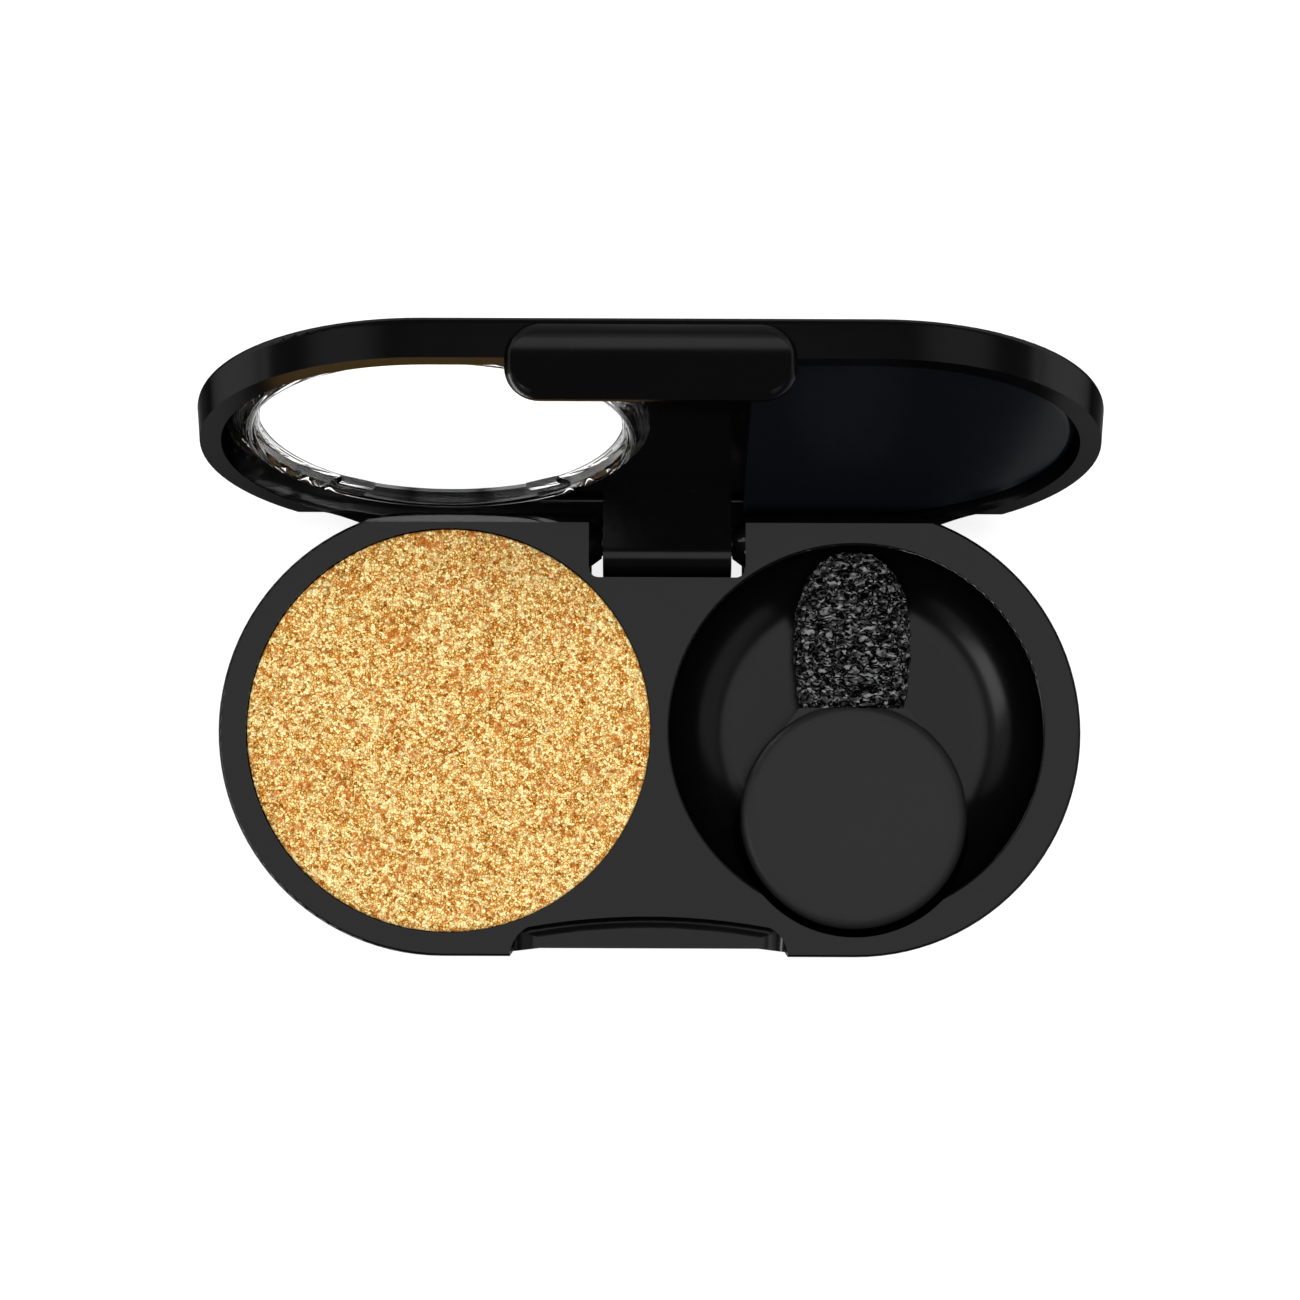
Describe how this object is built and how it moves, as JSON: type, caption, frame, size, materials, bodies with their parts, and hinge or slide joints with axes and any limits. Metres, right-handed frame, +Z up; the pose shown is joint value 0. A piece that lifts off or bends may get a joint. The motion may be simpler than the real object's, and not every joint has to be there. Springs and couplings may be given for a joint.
{
  "type": "pressed eyeshadow compact",
  "caption": "Stadium-shaped black compact: snap-hinged lid with a clear round window, a pan of shimmer powder and a disc-handled sponge applicator in its own well.",
  "frame": {"origin": "centre of the flat underside of the case, on the table", "axes": "+X along the case towards the applicator, +Y towards the hinge, +Z up"},
  "size_m": [0.0644, 0.0424, 0.0354],
  "materials": {
    "satin_black_plastic": "satin moulded ABS",
    "gloss_black_plastic": "polished moulded ABS",
    "charcoal_plastic": "satin moulded polypropylene",
    "pan_metal": "drawn aluminium pan",
    "shimmer_powder": "pressed gold shimmer powder",
    "adhesive": "double-sided adhesive disc",
    "black_foam": "fine open-cell foam",
    "clear_plastic": "clear moulded styrene"
  },
  "bodies": {
    "case": {"base_shell": "satin_black_plastic", "bottom_cover": "satin_black_plastic", "powder_pan": "pan_metal", "pressed_powder": "shimmer_powder", "pan_adhesive": "adhesive"},
    "lid": {"lid_shell": "gloss_black_plastic", "lid_inner_panel": "gloss_black_plastic", "lid_window": "clear_plastic"},
    "applicator": {"applicator_handle": "charcoal_plastic", "applicator_sponge": "black_foam"}
  },
  "joints": [
    {"name": "lid_hinge", "type": "hinge", "parent": "case", "child": "lid", "pos_m": [0, 0.0141, 0.00475], "axis": [1, 0, 0], "range_deg": [0, 103]},
    {"name": "applicator_lift", "type": "slide", "parent": "case", "child": "applicator", "axis": [0, 0, 1], "range_m": [0, 0.02]}
  ]
}
